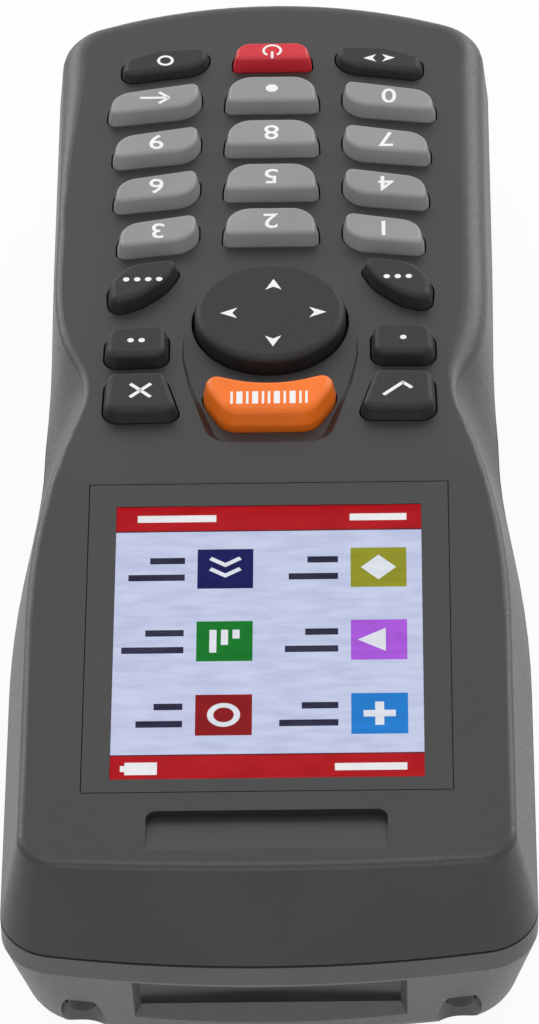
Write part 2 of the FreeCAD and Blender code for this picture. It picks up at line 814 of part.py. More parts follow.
def tail_boss_room(spare):
    """Room for the front cover's two tail screw bosses, in the keypad's frame."""
    return [post(x, SCREW_TAIL_Y - BEND_Y, -BOARD_LOW - 1, 0, TOP_BOSS_RADIUS + spare)
            for x in (-SCREW_TAIL_X, SCREW_TAIL_X)]


def make_keypad_mat():
    low = -MAT_TOP - MAT_THICK
    sheet = plate(MAT_HALF, MAT_START, MAT_END, MAT_CORNER, low, -MAT_TOP)
    rim = plate(MAT_HALF, MAT_START, MAT_END, MAT_CORNER, -BOARD_TOP, low)
    room = plate(MAT_HALF - MAT_RIM, MAT_START + MAT_RIM, MAT_END - MAT_RIM, MAT_CORNER - MAT_RIM,
                 -BOARD_TOP, low)
    holes = [post(0, DPAD_S, -BOARD_TOP, 0, DPAD_RADIUS + DPAD_GAP + FLANGE_LIP + STEM_GAP)]
    holes += [post(x, s, -BOARD_TOP, 0, STEM_RADIUS + STEM_GAP) for x, s in key_middles()]
    holes += tail_boss_room(SCREW_SKIN)
    return on_keypad(fuse_all([sheet, rim.cut(room)]).cut(Part.makeCompound(holes)))


def make_dome_sheet():
    inset = MAT_RIM + 2 * FIT
    sheet = plate(MAT_HALF - inset, MAT_START + inset, MAT_END - inset, MAT_CORNER - MAT_RIM,
                  -BOARD_TOP, -BOARD_TOP + DOME_SHEET)
    domes = []
    for x, s in key_middles() + nub_places():
        low = Vector(x, s, -BOARD_TOP + DOME_SHEET)
        domes.append(Part.makeCone(DOME_RADIUS, DOME_FLAT, DOME_HEIGHT, low))
    pivot_hole = post(0, DPAD_S, -BOARD_TOP, 0, PIVOT_RADIUS + STEM_GAP)
    holes = Part.makeCompound([pivot_hole] + tail_boss_room(SCREW_SKIN + MAT_RIM))
    return on_keypad(fuse_all([sheet] + domes).cut(holes))


def make_keypad_board():
    board = plate(MAT_HALF, MAT_START, MAT_END, MAT_CORNER, -BOARD_LOW, -BOARD_TOP)
    return on_keypad(board.cut(Part.makeCompound(tail_boss_room(SCREW_SKIN))))


# Front cover

def scan_recess():
    """Level space round the scan key, deepest at the head, with sloping walls."""
    end = RECESS_END + RECESS_HIGH
    right = [(6.0, 5.05), (9.05, 14.2), (10.15, 19.5), (10.15, end)]
    left = [(-x, s) for x, s in reversed(right)]
    recess = drafted((right + left, [2.0, 8.0, 10.0, 1.0, 1.0, 10.0, 8.0, 2.0]),
                     RECESS_DRAFT * RECESS_HIGH, RECESS_HIGH)
    recess.translate(Vector(0, BEND_Y, face_height(BEND_Y + RECESS_END)))
    return recess


def parting_groove():
    """The dark line between the covers: the front cover's rim stands back a little."""
    high = PARTING_Z + PARTING_GROOVE
    beyond = prism(parting_outline(0, -1), PARTING_Z, high)
    return beyond.cut(prism(parting_outline(0, PARTING_GROOVE_DEEP), PARTING_Z, high))


def badge_recess():
    sides = plate(BADGE_HALF, BADGE_FRONT - BADGE_RUNOUT, BADGE_TAIL, BADGE_CORNER,
                  THICKNESS - BADGE_DEPTH - 1, THICKNESS + 1)
    corners = [
        Vector(-BEYOND, BADGE_TAIL + 1, THICKNESS - BADGE_DEPTH),
        Vector(-BEYOND, BADGE_TAIL + 1, THICKNESS + 2),
        Vector(-BEYOND, BADGE_FRONT - BADGE_RUNOUT, THICKNESS + 2),
        Vector(-BEYOND, BADGE_FRONT, THICKNESS),
    ]
    wedge = Part.Face(Part.makePolygon(corners + [corners[0]])).extrude(Vector(2 * BEYOND, 0, 0))
    return sides.common(wedge)


def key_openings():
    cuts = []
    for name, shape, height, edge in key_table():
        cuts.append(on_keypad(key_prism(shape, KEY_GAP, -WALL - 1, 1)))
    cuts.append(on_keypad(post(0, DPAD_S, -WALL - 1, 1, DPAD_RADIUS + DPAD_GAP)))
    return cuts


def board_boss_places():
    return [(x, y) for x in (-BOARD_SCREW_X, BOARD_SCREW_X) for y in (BOARD_SCREW_FRONT, BOARD_SCREW_TAIL)]


def housing_screw_places():
    head = [(x, SCREW_HEAD_Y) for x in (-SCREW_HEAD_X, SCREW_HEAD_X)]
    tail = [(x, SCREW_TAIL_Y) for x in (-SCREW_TAIL_X, SCREW_TAIL_X)]
    return head + tail


def make_front_cover():
    outside = upper_outside()
    bosses = [post(x, y, BOARD_Z + BOARD_THICK, THICKNESS, BOARD_BOSS) for x, y in board_boss_places()]
    bosses += [post(x, y, PARTING_Z, THICKNESS, TOP_BOSS_RADIUS) for x, y in housing_screw_places()]
    inside = upper_inside().cut(Part.makeCompound(bosses))
    cuts = [inside, parting_groove(), scan_recess(), badge_recess()] + key_openings()
    cuts.append(block(-LENS_HALF - LENS_GAP, LENS_HALF + LENS_GAP, -LENS_HEAD - LENS_GAP,
                      LENS_TAIL + LENS_GAP, LENS_Z, THICKNESS + 1))
    panel_x = SCREEN_HALF_X + PANEL_BORDER + 2 * FIT
    panel_y = SCREEN_HALF_Y + PANEL_BORDER + 2 * FIT
    cuts.append(block(-panel_x, panel_x, -panel_y, panel_y, THICKNESS - WALL - 1, THICKNESS))
    screw_top = THICKNESS - WALL - SCREW_SKIN
    cuts += [post(x, y, BOARD_Z, screw_top, SMALL_SCREW + THREAD_GAP) for x, y in board_boss_places()]
    for x, y in housing_screw_places():
        screw_top = face_height(y) - WALL - SCREW_SKIN
        cuts.append(post(x, y, PARTING_Z - 1, screw_top, SCREW_RADIUS + THREAD_GAP))
    cover = outside
    for cut in cuts:
        cover = cover.cut(cut)
    return cover


# Scan window and its pocket, in the slanted frame of the lower front

def on_front(shape):
    """Moves a shape from a frame whose XZ plane is the lower front face to its place."""
    placed = shape.copy()
    placed.rotate(Vector(0, 0, 0), Vector(1, 0, 0), math.degrees(FACE_SLANT))
    placed.translate(Vector(0, HEAD_FRONT + BASE_SETBACK, 0))
    return placed


def upright_rectangle(half, low, high, depth):
    corners = [Vector(-half, depth, low), Vector(half, depth, low),
               Vector(half, depth, high), Vector(-half, depth, high)]
    return Part.makePolygon(corners + [corners[0]])


def window_pocket():
    slope = WINDOW_BEVEL / WINDOW_RECESS
    outside = upright_rectangle(WINDOW_HALF + 2 * WINDOW_BEVEL, WINDOW_LOW - 2 * WINDOW_BEVEL,
                                WINDOW_HIGH + WINDOW_BEVEL, -WINDOW_BEVEL / slope)
    inside = upright_rectangle(WINDOW_HALF, WINDOW_LOW, WINDOW_HIGH, WINDOW_RECESS)
    bevel = Part.makeLoft([outside, inside], True, True)
    through = block(-WINDOW_HALF, WINDOW_HALF, 0, WINDOW_RECESS + 4, WINDOW_LOW, WINDOW_HIGH)
    return on_front(bevel.fuse(through))


def window_block(lip, depth0, depth1):
    return on_front(block(-WINDOW_HALF - lip, WINDOW_HALF + lip, depth0, depth1,
                          WINDOW_LOW - lip, WINDOW_HIGH + min(lip, WINDOW_LIP)))


def make_scan_window():
    return window_block(WINDOW_LIP, WINDOW_RECESS, WINDOW_RECESS + WINDOW_THICK)


# Rear cover

def cover_region(gap, y1):
    """The space of the sliding cover, with its two tongues, grown by gap."""
    tongue_half = COVER_HALF + COVER_TONGUE + gap
    panel = block(-COVER_HALF - gap, COVER_HALF + gap, COVER_HEAD - gap, y1, -1, COVER_THICK + gap)
    tongues = block(-tongue_half, tongue_half, COVER_HEAD - gap, y1,
                    COVER_TONGUE_LOW - gap, COVER_THICK + gap)
    return panel.fuse(tongues).removeSplitter()


def battery_bay_walls():
    """The box round the battery, open towards the back."""
    half = BAY_HALF + BAY_WALL
    box = block(-half, half, BAY_HEAD - BAY_WALL, BAY_TAIL + BAY_WALL, 0, BAY_HIGH + BAY_WALL)
    room = block(-BAY_HALF, BAY_HALF, BAY_HEAD, BAY_TAIL, -1, BAY_HIGH)
    return box, room


def keypad_posts():
    """Four posts that carry the keypad board, cut to its slope."""
    posts = []
    ceiling = on_keypad(block(-BEYOND, BEYOND, 0, TAIL_END, -BOARD_LOW, BEYOND))
    for x in (-KEYPAD_POST_X, KEYPAD_POST_X):
        for s in KEYPAD_POST_S:
            y = BEND_Y + s
            posts.append(post(x, y, back_height(y) + WALL / 2, THICKNESS, KEYPAD_POST_RADIUS).cut(ceiling))
    return posts


def bracket_screw_x():
    return [-BRACKET_SCREW_X, BRACKET_SCREW_X]


def sound_slots():
    slots = []
    for step in (-1, 0, 1):
        y = BUZZER_Y + step * SOUND_SLOT_PITCH
        slots.append(block(BUZZER_X - SOUND_SLOT_HALF, BUZZER_X + SOUND_SLOT_HALF,
                           y - SOUND_SLOT_WIDTH / 2, y + SOUND_SLOT_WIDTH / 2, -1, WALL + 1))
    return slots


def make_rear_cover():
    outside = lower_outside()
    inside = lower_body(WALL)
    bay_box, bay_room = battery_bay_walls()
    inner = [post(x, y, 0, PARTING_Z, BOSS_RADIUS) for x, y in housing_screw_places()]
    inner += [post(x, BRACKET_SCREW_Y, 0, ENGINE_LOW - BRACKET_THICK, BRACKET_BOSS)
              for x in bracket_screw_x()]
    inner += [post(x, TAIL_END - IO_POST_INSET, BAY_HIGH, IO_BOARD_Z, IO_POST_RADIUS)
              for x in (-IO_POST_X, IO_POST_X)]
    inner.append(bay_box)
    inner.append(window_block(WINDOW_SEAT_LIP, WINDOW_SEAT_DEPTH, WINDOW_RECESS))
    shell = outside.cut(inside)
    shell = shell.fuse(outside.common(Part.makeCompound(inner)))
    shell = shell.fuse(Part.makeCompound(keypad_posts()))
    cuts = [bay_room, window_pocket(), window_block(WINDOW_LIP + FIT, WINDOW_RECESS, WINDOW_RECESS + WALL),
            cover_region(COVER_GAP, TAIL_END + 1)]
    for x, y in housing_screw_places():
        cuts.append(post(x, y, -1, SCREW_SEAT, WELL_RADIUS))
        cuts.append(post(x, y, 0, PARTING_Z + 1, SCREW_RADIUS + FIT))
    for x in bracket_screw_x():
        cuts.append(post(x, BRACKET_SCREW_Y, SCREW_SKIN, ENGINE_LOW, SMALL_SCREW + THREAD_GAP))
    cuts.append(socket_block(SOCKET_GAP, TAIL_END + 1))
    cuts += sound_slots()
    for cut in cuts:
        shell = shell.cut(cut)
    return shell.removeSplitter()


def make_battery_cover():
    region = cover_region(0, TAIL_END)
    cover = lower_outside().common(region)
    for index in range(THUMB_RIBS):
        y = COVER_HEAD + THUMB_RIB_HALF + THUMB_RIB_PITCH * index
        end = y + THUMB_RIB_WIDTH
        cover = cover.cut(block(-THUMB_RIB_HALF, THUMB_RIB_HALF, y, end, -1, THUMB_RIB_DEPTH))
    return cover


# Pieces inside

def make_display_bezel():
    frame = block(-LENS_HALF, LENS_HALF, -LENS_HEAD, LENS_TAIL, LENS_Z, THICKNESS)
    x = SCREEN_HALF_X + SCREEN_MARGIN
    y = SCREEN_HALF_Y + SCREEN_MARGIN
    return frame.cut(block(-x, x, -y, y, LENS_Z - 1, THICKNESS + 1))


def make_display_window():
    x = SCREEN_HALF_X + SCREEN_MARGIN - WINDOW_FIT
    y = SCREEN_HALF_Y + SCREEN_MARGIN - WINDOW_FIT
    return block(-x, x, -y, y, SCREEN_Z + 2 * WINDOW_FIT, THICKNESS - WINDOW_FIT)


def make_lcd_panel():
    x = SCREEN_HALF_X + PANEL_BORDER
    y = SCREEN_HALF_Y + PANEL_BORDER
    return block(-x, x, -y, y, PANEL_Z, SCREEN_Z)


def make_backlight():
    x = SCREEN_HALF_X + PANEL_BORDER
    y = SCREEN_HALF_Y + PANEL_BORDER
    return block(-x, x, -y, y + BACKLIGHT_TAIL, BACKLIGHT_Z, PANEL_Z)


def make_lcd_frame():
    x = SCREEN_HALF_X + PANEL_BORDER + FIT
    y = SCREEN_HALF_Y + PANEL_BORDER + FIT
    top = THICKNESS - WALL - FIT
    tray = block(-x - FRAME_WALL, x + FRAME_WALL, -y - FRAME_WALL, y + BACKLIGHT_TAIL + FRAME_WALL,
                 BACKLIGHT_Z - FRAME_FLOOR, top)
    return tray.cut(block(-x, x, -y, y + BACKLIGHT_TAIL, BACKLIGHT_Z, top + 1))


def make_lcd_cushion():
    low = BOARD_Z + BOARD_THICK
    high = BACKLIGHT_Z - FRAME_FLOOR
    return plate(CUSHION_HALF_X, -CUSHION_HALF_Y, CUSHION_HALF_Y, MAT_CORNER, low, high)


def make_main_board():
    board = block(-BOARD_HALF, BOARD_HALF, BOARD_FRONT, BOARD_TAIL, BOARD_Z, BOARD_Z + BOARD_THICK)
    holes = [post(x, y, BOARD_Z - 1, THICKNESS, SMALL_SCREW + FIT) for x, y in board_boss_places()]
    return board.cut(Part.makeCompound(holes))


def make_shield_can():
    return plate(SHIELD_HALF, SHIELD_START, SHIELD_END, FIT, CAN_Z, BOARD_Z)


def make_buzzer():
    low = BOARD_Z - BUZZER_HIGH
    case = post(BUZZER_X, BUZZER_Y, low, BOARD_Z, BUZZER_RADIUS)
    return case.cut(post(BUZZER_X, BUZZER_Y, low - 1, low + BUZZER_WALL, BUZZER_MOUTH))


def screw(x, y, head_low, head_high, radius, head_radius, tip):
    """A screw that points up, with a cross recess under its head."""
    head = post(x, y, head_low, head_high, head_radius)
    reach = DRIVE_SHARE * head_radius
    half = DRIVE_WIDTH / 2
    deep = head_low + DRIVE_DEPTH
    cross = fuse_all([block(x - reach, x + reach, y - half, y + half, head_low, deep),
                      block(x - half, x + half, y - reach, y + reach, head_low, deep)])
    return head.cut(cross).fuse(post(x, y, head_high, tip, radius))


def make_board_screws():
    head_low = BOARD_Z - SMALL_HEAD_HIGH
    tip = THICKNESS - WALL - SCREW_SKIN - TIP_GAP
    return Part.makeCompound([screw(x, y, head_low, BOARD_Z, SMALL_SCREW, SMALL_HEAD, tip)
                              for x, y in board_boss_places()])


def make_housing_screws():
    solids = []
    for x, y in housing_screw_places():
        tip = face_height(y) - WALL - SCREW_SKIN - TIP_GAP
        head_low = SCREW_SEAT - SCREW_HEAD_HIGH
        solids.append(screw(x, y, head_low, SCREW_SEAT, SCREW_RADIUS, SCREW_HEAD_RADIUS, tip))
    return Part.makeCompound(solids)


def make_scan_engine():
    case = block(-ENGINE_HALF, ENGINE_HALF, ENGINE_FRONT, ENGINE_TAIL, ENGINE_LOW, ENGINE_HIGH)
    long_edges = [edge for edge in case.Edges if edge.BoundBox.YLength > 1]
    case = case.makeFillet(ENGINE_EDGE, long_edges)
    for x, radius in ENGINE_EYES:
        start = Vector(x, ENGINE_FRONT - 1, ENGINE_MIDDLE)
        depth = 1 + EYE_LENGTH - EYE_PROUD
        case = case.cut(Part.makeCylinder(radius + EYE_GAP, depth, start, Vector(0, 1, 0)))
    return case


def make_engine_lenses():
    lenses = []
    for x, radius in ENGINE_EYES:
        start = Vector(x, ENGINE_FRONT - EYE_PROUD, ENGINE_MIDDLE)
        lenses.append(Part.makeCylinder(radius, EYE_LENGTH, start, Vector(0, 1, 0)))
    return Part.makeCompound(lenses)


def make_engine_board():
    return block(-ENGINE_HALF + 1, ENGINE_HALF - 1, ENGINE_TAIL, ENGINE_TAIL + 1,
                 ENGINE_LOW + ENGINE_EDGE, ENGINE_HIGH - ENGINE_EDGE)


def make_engine_bracket():
    low = ENGINE_LOW - BRACKET_THICK
    front = ENGINE_FRONT + BRACKET_INSET
    tail = ENGINE_TAIL - BRACKET_INSET
    base = block(-BRACKET_HALF, BRACKET_HALF, front, tail, low, ENGINE_LOW)
    side = block(ENGINE_HALF, ENGINE_HALF + BRACKET_THICK, front, tail,
                 ENGINE_LOW, ENGINE_HIGH - BRACKET_INSET)
    bracket = fuse_all([base] + both_sides(side))
    holes = [post(x, BRACKET_SCREW_Y, low - 1, ENGINE_LOW + 1, SMALL_SCREW + FIT) for x in bracket_screw_x()]
    return bracket.cut(Part.makeCompound(holes))


def make_bracket_screws():
    solids = []
    for x in bracket_screw_x():
        upside_down = screw(x, BRACKET_SCREW_Y, -SMALL_HEAD_HIGH, 0, SMALL_SCREW, SMALL_HEAD,
                            ENGINE_LOW - SCREW_SKIN - TIP_GAP)
        upright = upside_down.mirror(Vector(0, 0, 0), Vector(0, 0, 1))
        upright.translate(Vector(0, 0, ENGINE_LOW))
        solids.append(upright)
    return Part.makeCompound(solids)


def make_battery():
    low = BAY_LOW + BAY_GAP
    tail = BATTERY_HEAD + BATTERY_LENGTH
    pack = block(-BATTERY_HALF, BATTERY_HALF, BATTERY_HEAD, tail, low, low + BATTERY_HIGH)
    long_edges = [edge for edge in pack.Edges if edge.BoundBox.YLength > 1]
    return pack.makeFillet(BATTERY_EDGE, long_edges)


def make_battery_contacts():
    """Three sprung blades on the bay's head wall, bowed towards the battery."""
    foot = BAY_HEAD + CONTACT_THICK
    tip = BAY_HEAD + CONTACT_REACH
    low, middle, high = CONTACT_HEIGHTS
    blades = []
    for step in (-1, 0, 1):
        corners = [(BAY_HEAD, low), (foot, low), (tip, middle), (foot, high), (BAY_HEAD, high)]
        points = [Vector(step * CONTACT_PITCH - CONTACT_WIDTH / 2, y, z) for y, z in corners]
        blades.append(Part.Face(Part.makePolygon(points + [points[0]])).extrude(Vector(CONTACT_WIDTH, 0, 0)))
    return Part.makeCompound(blades)


def socket_block(grow, mouth):
    low = IO_BOARD_Z - SOCKET_HIGH
    back = TAIL_END - SOCKET_INSET - SOCKET_LENGTH
    return block(-SOCKET_HALF - grow, SOCKET_HALF + grow, back - grow, mouth, low - grow, IO_BOARD_Z + grow)


def make_usb_socket():
    mouth = TAIL_END - SOCKET_INSET
    shell = socket_block(0, mouth)
    low = IO_BOARD_Z - SOCKET_HIGH
    middle = IO_BOARD_Z - SOCKET_HIGH / 2
    half = SOCKET_HALF - SOCKET_WALL
    room = block(-half, half, mouth - SOCKET_ROOM, mouth + 1, low + SOCKET_WALL, IO_BOARD_Z - SOCKET_WALL)
    tongue = block(-SOCKET_TONGUE_HALF, SOCKET_TONGUE_HALF, mouth - SOCKET_ROOM, mouth - SOCKET_TONGUE_THICK,
                   middle - SOCKET_TONGUE_THICK / 2, middle + SOCKET_TONGUE_THICK / 2)
    return fuse_all([shell.cut(room), tongue])


def make_io_board():
    return block(-IO_BOARD_HALF, IO_BOARD_HALF, IO_BOARD_TAIL - IO_BOARD_LENGTH, IO_BOARD_TAIL,
                 IO_BOARD_Z, IO_BOARD_Z + IO_BOARD_THICK)


def make_board_flex():
    """From under the main board to the underside of the keypad board."""
    low = BOARD_Z - FLEX_SEAT
    high = face_height(BEND_Y + 10) - BOARD_LOW - FLEX_SEAT - FLEX_SLOPE
    path = [(BOARD_TAIL - 5, low), (BOARD_TAIL + 1, low), (BOARD_TAIL + 4, high), (BOARD_TAIL + 6, high)]
    return ribbon(path, FLEX_THICK, BOARD_FLEX_HALF)


def make_io_flex():
    """From the top of the socket's board to the underside of the keypad board."""
    start = IO_BOARD_TAIL - IO_BOARD_LENGTH
    low = IO_BOARD_Z + IO_BOARD_THICK + FLEX_SEAT
    high = face_height(start - 6) - BOARD_LOW - FLEX_SEAT - 2 * FLEX_SLOPE
    path = [(start + 3, low), (start - 3, low), (start - 5, high)]
    return ribbon(path, FLEX_THICK, IO_FLEX_HALF)


def make_engine_flex():
    """From the back of the scan engine up to the main board."""
    start = ENGINE_TAIL + 1 + FLEX_SEAT
    low = ENGINE_LOW + 6
    high = BOARD_Z - FLEX_SEAT
    path = [(start, low), (start + 3, low), (start + 3, high), (start + 5, high)]
    return ribbon(path, FLEX_THICK, ENGINE_FLEX_HALF)


def make_lcd_flex():
    """From under the screen's tray to the top of the main board."""
    low = BOARD_Z + BOARD_THICK + FLEX_SEAT
    high = BACKLIGHT_Z - FRAME_FLOOR - FLEX_SEAT
    edge = SCREEN_HALF_Y + PANEL_BORDER + FIT + BACKLIGHT_TAIL + FRAME_WALL
    path = [(edge - 1, high), (edge - 3, low), (edge - 7, low)]
    return ribbon(path, FLEX_THICK, LCD_FLEX_HALF)


def make_all():
    parts = {
        "front_cover": make_front_cover(),
        "rear_cover": make_rear_cover(),
        "battery_cover": make_battery_cover(),
        "display_bezel": make_display_bezel(),
        "display_window": make_display_window(),
        "lcd_panel": make_lcd_panel(),
        "lcd_backlight": make_backlight(),
        "lcd_frame": make_lcd_frame(),
        "lcd_cushion": make_lcd_cushion(),
        "lcd_flex": make_lcd_flex(),
        "main_board": make_main_board(),
        "shield_can": make_shield_can(),
        "buzzer": make_buzzer(),
        "board_screws": make_board_screws(),
        "housing_screws": make_housing_screws(),
        "board_flex": make_board_flex(),
        "dpad_disc": make_dpad_disc(),
        "dpad_pivot": make_dpad_pivot(),
        "keypad_mat": make_keypad_mat(),
        "dome_sheet": make_dome_sheet(),
        "keypad_board": make_keypad_board(),
        "scan_window": make_scan_window(),
        "scan_engine": make_scan_engine(),
        "engine_lenses": make_engine_lenses(),
        "engine_board": make_engine_board(),
        "engine_bracket": make_engine_bracket(),
        "bracket_screws": make_bracket_screws(),
        "engine_flex": make_engine_flex(),
        "battery_pack": make_battery(),
        "battery_contacts": make_battery_contacts(),
        "usb_socket": make_usb_socket(),
        "io_board": make_io_board(),
        "io_flex": make_io_flex(),
    }
    parts.update(make_keys())
    return parts


os.makedirs("parts", exist_ok=True)
for node, shape in make_all().items():
    shape.translate(Vector(0, -CENTRE_Y, 0))
    shape.exportStep("parts/" + node + ".step")
    print(node, shape.isValid(), len(shape.Solids), round(shape.Volume, 2))
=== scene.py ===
import math

import bpy
from mathutils import Matrix, Vector


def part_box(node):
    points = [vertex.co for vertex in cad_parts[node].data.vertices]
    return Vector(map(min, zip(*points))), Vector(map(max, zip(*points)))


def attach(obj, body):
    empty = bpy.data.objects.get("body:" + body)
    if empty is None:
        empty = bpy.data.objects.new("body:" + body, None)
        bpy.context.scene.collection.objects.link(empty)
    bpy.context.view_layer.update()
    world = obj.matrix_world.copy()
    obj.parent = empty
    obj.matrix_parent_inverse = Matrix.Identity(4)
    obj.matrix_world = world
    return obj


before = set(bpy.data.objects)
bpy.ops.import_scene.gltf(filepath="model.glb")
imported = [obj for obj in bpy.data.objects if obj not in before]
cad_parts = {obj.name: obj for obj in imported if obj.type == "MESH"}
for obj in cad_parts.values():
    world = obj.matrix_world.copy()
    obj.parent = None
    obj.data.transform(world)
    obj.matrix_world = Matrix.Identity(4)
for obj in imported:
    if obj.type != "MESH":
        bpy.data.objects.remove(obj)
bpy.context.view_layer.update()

# Metres, in the frame of the CAD model: +Z is up out of the face, -Y points to the scan window.
MM = 0.001

# Camera: where the screen's centre stands as the camera sees it (right, down and ahead), how far
# the camera is pitched down, turned and rolled in degrees, and its lens in millimetres
SCREEN_CENTRE = Vector((0, -39.35, 31.0)) * MM
SCREEN_IN_VIEW = Vector((-0.1864, 13.9115, 834.432)) * MM
CAMERA_PITCH = 44.0992
CAMERA_YAW = -1.41427
CAMERA_ROLL = 1.65952
FOCAL_LENGTH = 260.93
SENSOR = 36.0
CLIP_START = 0.05

# Stage and light: the floor lies a little below the terminal's back
FLOOR_HALF = 6.0
FLOOR_Z = -0.05 * MM
FLOOR_PAINT = (0.9, 0.9, 0.9, 1)
FLOOR_ROUGHNESS = 0.9
FLOOR_GLOW = 0.93
SKY_LIGHT = 0.4
LAMP_DISTANCE = 1.1

# Keypad plane: it bends down from the face and slopes to the tail. Tops stand above the plane, and s
# runs along it from the bend to the tail.
KEYPAD_BEND = Vector((0, -11.35, 31.0)) * MM
KEYPAD_TILT = math.radians(-3.2)
KEY_TOP = 1.9 * MM
LOW_KEY_TOP = 1.3 * MM
SCAN_TOP = 2.3 * MM
DPAD_TOP = 2.0 * MM
DPAD_S = 25.5 * MM

# Prints on the keys and the pad
PRINT_THICK = 0.02 * MM
PRINT_SINK = 0.005 * MM
DIGIT_HEIGHT = 2.7 * MM
DIGIT_SHARE_OF_FONT = 0.7
DIGIT_BOLDER = 0.035 * MM
DOT_RADIUS = 0.75 * MM
THIN_LINE = 0.3 * MM
SIGN_LINE = 0.45 * MM
ARROW_SIZE = 1.9 * MM
ARROW_CIRCLE = 5.2 * MM
ARROW_SHIFT_X = 0.4 * MM
ARROW_SHIFT_S = -0.55 * MM
FULL_RING = 359.9

# Bars on the scan key
SCAN_BAR_HEIGHT = 2.2 * MM
SCAN_BAR_GAP = 0.42 * MM
SCAN_BAR_SHIFT = 1.1 * MM
THIN_BAR = 0.28 * MM
WIDE_BAR = 0.7 * MM
SCAN_BARS = (THIN_BAR, THIN_BAR, WIDE_BAR, THIN_BAR, WIDE_BAR, THIN_BAR,
             THIN_BAR, WIDE_BAR, THIN_BAR, WIDE_BAR, THIN_BAR)

# Screen: its picture lies on the lit panel, in layers, under the clear window
PICTURE_Z = 30.2 * MM
PICTURE_HALF_X = 17.42 * MM
PICTURE_HALF_Y = 21.78 * MM
LAYER = 0.012 * MM
BACK_LAYER = 0
TILE_LAYER = 1
SIGN_LAYER = 2

# Printed border: it covers the window's rim and the gap round the window, up to the face
BORDER_Z = 30.95 * MM
BORDER_THICK = 0.05 * MM
BORDER_TAIL = 1.0 * MM
WINDOW_GAP = 0.05 * MM

# Red bars at either end of the picture, with a dark line on their inner edge and marks on them
BAR_HIGH = 3.96 * MM
BAR_LINE = 0.16 * MM
MARK_HIGH = 1.1 * MM
TOP_MARK_X = -11.5 * MM
TOP_MARK_LONG = 8.0 * MM
LEFT_MARK_X = -12.5 * MM
LEFT_MARK_LONG = 6.5 * MM
RIGHT_MARK_X = 10.5 * MM
RIGHT_MARK_LONG = 9.0 * MM
LEVEL_X = 14.0 * MM
LEVEL_LONG = 3.6 * MM
LEVEL_HIGH = 1.9 * MM
LEVEL_TIP_LONG = 0.5 * MM
LEVEL_TIP_HIGH = 0.9 * MM

# Tiles, with two label bars beside each
TILE = 6.34 * MM
TILE_COLUMNS = (-12.5 * MM, 4.9 * MM)
TILE_ROW_PITCH = 11.6 * MM
LABEL_START = 4.6 * MM
LABEL_HIGH = 1.0 * MM
LABEL_APART = 1.35 * MM
SECOND_LABEL_SHARE = 0.62

# Finish: noise is counted in waves per metre, and only the middle of its range is used
NOISE_LOW = 0.3
NOISE_HIGH = 0.7
MOTTLE_LOW = 0.35
MOTTLE_HIGH = 0.65
GRAIN_WAVES = 2600
GRAIN_DEPTH = 0.05 * MM
SHEEN_SPREAD = 0.07
PANEL_SCALE = 900
PANEL_ROW_SHARE = 0.06


# Colours, given as they appear on a screen

def paint(red, green, blue):
    def linear(value):
        share = value / 255
        return share / 12.92 if share <= 0.04045 else ((share + 0.055) / 1.055) ** 2.4
    return (linear(red), linear(green), linear(blue), 1.0)


# Materials

def new_material(name):
    material = bpy.data.materials.new(name)
    material.use_nodes = True
    nodes = material.node_tree.nodes
    return material, nodes, material.node_tree.links, nodes["Principled BSDF"]


def object_noise(nodes, links, scale, detail):
    """Noise fixed to the object, scale in waves per metre."""
    place = nodes.new("ShaderNodeTexCoord")
    noise = nodes.new("ShaderNodeTexNoise")
    noise.inputs["Scale"].default_value = scale
    noise.inputs["Detail"].default_value = detail
    links.new(place.outputs["Object"], noise.inputs["Vector"])
    return noise.outputs["Fac"]


def spread(nodes, links, source, low, high):
    """A noise, stretched so that the middle of its range runs from low to high."""
    ranged = nodes.new("ShaderNodeMapRange")
    ranged.inputs["From Min"].default_value = NOISE_LOW
    ranged.inputs["From Max"].default_value = NOISE_HIGH
    ranged.inputs["To Min"].default_value = low
    ranged.inputs["To Max"].default_value = high
    links.new(source, ranged.inputs["Value"])
    return ranged.outputs["Result"]


def mottled(nodes, links, source, dark, light):
    """A noise as a colour between dark and light."""
    ramp = nodes.new("ShaderNodeValToRGB")
    ramp.color_ramp.elements[0].position = MOTTLE_LOW
    ramp.color_ramp.elements[0].color = dark
    ramp.color_ramp.elements[1].position = MOTTLE_HIGH
    ramp.color_ramp.elements[1].color = light
    links.new(source, ramp.inputs["Fac"])
    return ramp.outputs["Color"]


def scaled(colour, factor):
    return (colour[0] * factor, colour[1] * factor, colour[2] * factor, 1.0)


def plastic(name, colour, roughness, grain=0.3, tone=0.06, specular=0.5):
    """Moulded plastic or rubber: a fine grain, slight mottling and an uneven sheen."""
    material, nodes, links, shader = new_material(name)
    fine = object_noise(nodes, links, GRAIN_WAVES, detail=3)
    broad = object_noise(nodes, links, scale=90, detail=4)
    shade = mottled(nodes, links, broad, scaled(colour, 1 - tone), scaled(colour, 1 + tone))
    links.new(shade, shader.inputs["Base Color"])
    sheen = spread(nodes, links, fine, roughness - SHEEN_SPREAD, roughness + SHEEN_SPREAD)
    links.new(sheen, shader.inputs["Roughness"])
    shader.inputs["Specular IOR Level"].default_value = specular
    bump = nodes.new("ShaderNodeBump")
    bump.inputs["Strength"].default_value = grain
    bump.inputs["Distance"].default_value = GRAIN_DEPTH
    links.new(fine, bump.inputs["Height"])
    links.new(bump.outputs["Normal"], shader.inputs["Normal"])
    return material


